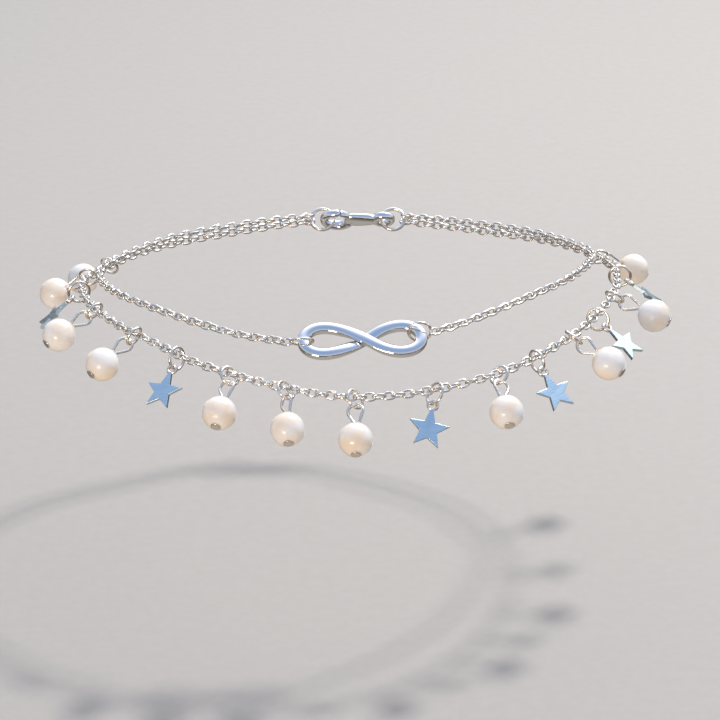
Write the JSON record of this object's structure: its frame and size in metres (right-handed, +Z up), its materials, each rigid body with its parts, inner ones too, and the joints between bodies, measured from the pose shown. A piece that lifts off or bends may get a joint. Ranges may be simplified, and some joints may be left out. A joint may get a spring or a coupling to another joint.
{
  "type": "pearl charm bracelet",
  "caption": "Bracelet of fine silver chain strands on one clasp, with an infinity connector in front and hanging pearls and flat stars, worn round the wrist.",
  "frame": {"origin": "centre of the oval that the bracelet drapes over, on the wrist's axis, below the strands", "axes": "+Z up along the wrist's axis; -Y towards the front with the infinity connector; +X to the viewer's right when looking at the front; the clasp is at +Y"},
  "size_m": [0.0785, 0.0672, 0.0122],
  "materials": {
    "polished_silver": "polished silver",
    "satin_silver": "satin silver sheet",
    "silver_chain": "polished silver wire",
    "pearl": "lustrous nacre"
  },
  "bodies": {
    "root": {"infinity": "polished_silver", "infinity_ring_left": "polished_silver", "infinity_ring_right": "polished_silver", "clasp": "polished_silver", "end_ring_left": "polished_silver", "end_ring_right": "polished_silver", "strand_lower": "silver_chain", "strand_upper_left": "silver_chain", "strand_upper_right": "silver_chain", "charm_ring_01": "polished_silver", "charm_ring_02": "polished_silver", "charm_ring_03": "polished_silver", "charm_ring_04": "polished_silver", "charm_ring_05": "polished_silver", "charm_ring_06": "polished_silver", "charm_ring_07": "polished_silver", "charm_ring_08": "polished_silver", "charm_ring_09": "polished_silver", "charm_ring_10": "polished_silver", "charm_ring_11": "polished_silver", "charm_ring_12": "polished_silver", "charm_ring_13": "polished_silver", "charm_ring_14": "polished_silver", "charm_ring_15": "polished_silver", "charm_ring_16": "polished_silver", "charm_ring_17": "polished_silver", "pearl_01": "pearl", "pin_01": "polished_silver", "pearl_02": "pearl", "pin_02": "polished_silver", "pearl_03": "pearl", "pin_03": "polished_silver", "pearl_04": "pearl", "pin_04": "polished_silver", "pearl_05": "pearl", "pin_05": "polished_silver", "pearl_06": "pearl", "pin_06": "polished_silver", "pearl_07": "pearl", "pin_07": "polished_silver", "pearl_08": "pearl", "pin_08": "polished_silver", "pearl_09": "pearl", "pin_09": "polished_silver", "pearl_10": "pearl", "pin_10": "polished_silver", "pearl_11": "pearl", "pin_11": "polished_silver", "star_01": "satin_silver", "star_02": "satin_silver", "star_03": "satin_silver", "star_04": "satin_silver", "star_05": "satin_silver", "star_06": "satin_silver"}
  },
  "joints": []
}
